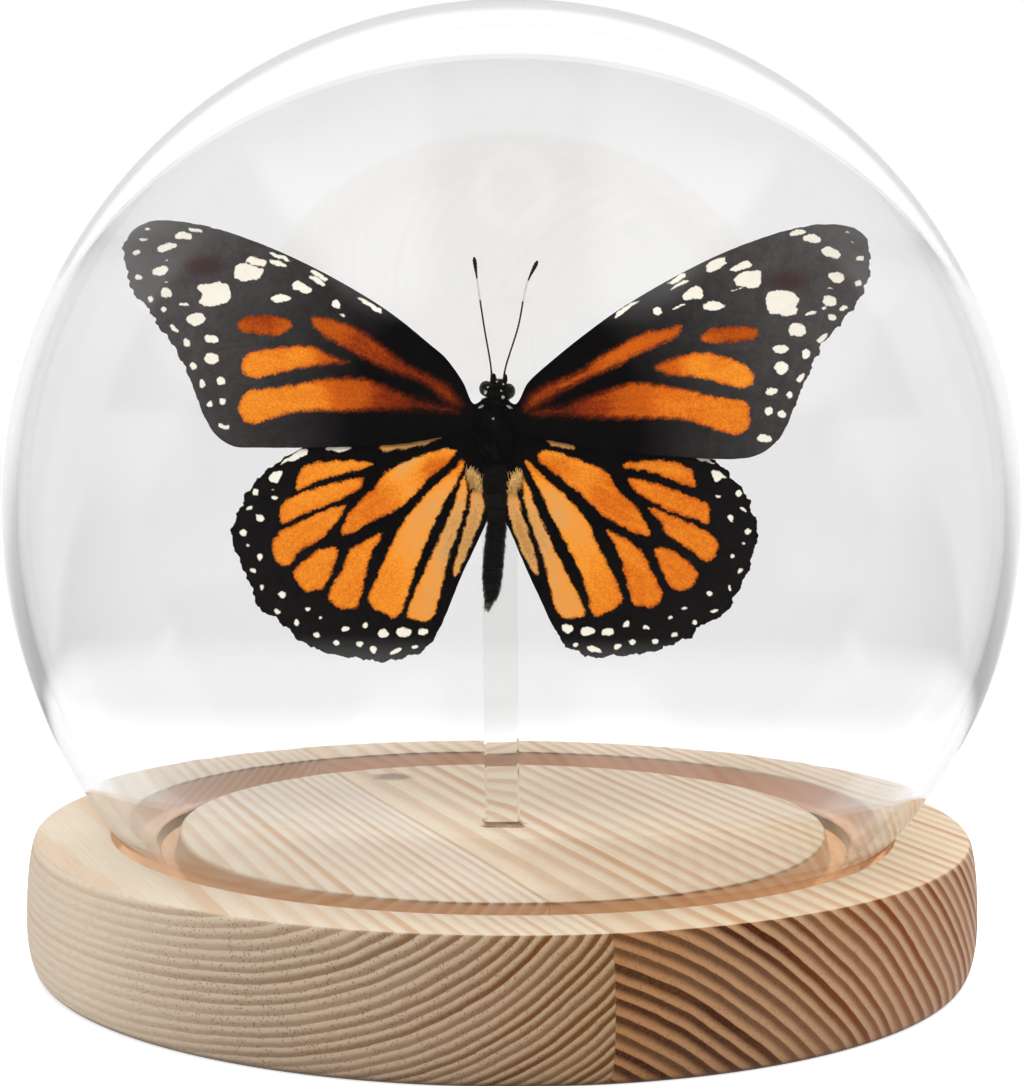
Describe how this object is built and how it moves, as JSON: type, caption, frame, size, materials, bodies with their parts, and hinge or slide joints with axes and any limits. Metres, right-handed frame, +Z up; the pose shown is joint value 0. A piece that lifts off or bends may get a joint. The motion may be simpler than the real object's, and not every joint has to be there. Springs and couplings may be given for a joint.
{
  "type": "insect in glass dome",
  "caption": "Spread monarch butterfly on a clear rod inside a clear glass globe that stands in the groove of a round pine base.",
  "frame": {"origin": "centre of the pine base's flat underside, on the axis of the turned base", "axes": "+Z up along the base's axis, -Y towards the viewer who sees the butterfly's back, +X to that viewer's right"},
  "size_m": [0.1266, 0.1266, 0.1202],
  "materials": {
    "pine": "raw turned and sanded pine, unvarnished",
    "globe_glass": "clear blown glass, polished",
    "acrylic": "clear acrylic bar, polished",
    "wing": "matt wing scales, orange with black veins and cream spots",
    "insect_body": "black dried insect body with fine hair"
  },
  "bodies": {
    "root": {"base_board_left": "pine", "base_board_right": "pine", "glass_globe": "globe_glass", "acrylic_rod": "acrylic", "head": "insect_body", "thorax": "insect_body", "abdomen": "insect_body", "forewing_left": "wing", "forewing_right": "wing", "hindwing_left": "wing", "hindwing_right": "wing", "antenna_left": "insect_body", "antenna_right": "insect_body", "leg_mid_left": "insect_body", "leg_hind_left": "insect_body", "leg_mid_right": "insect_body", "leg_hind_right": "insect_body"}
  },
  "joints": []
}
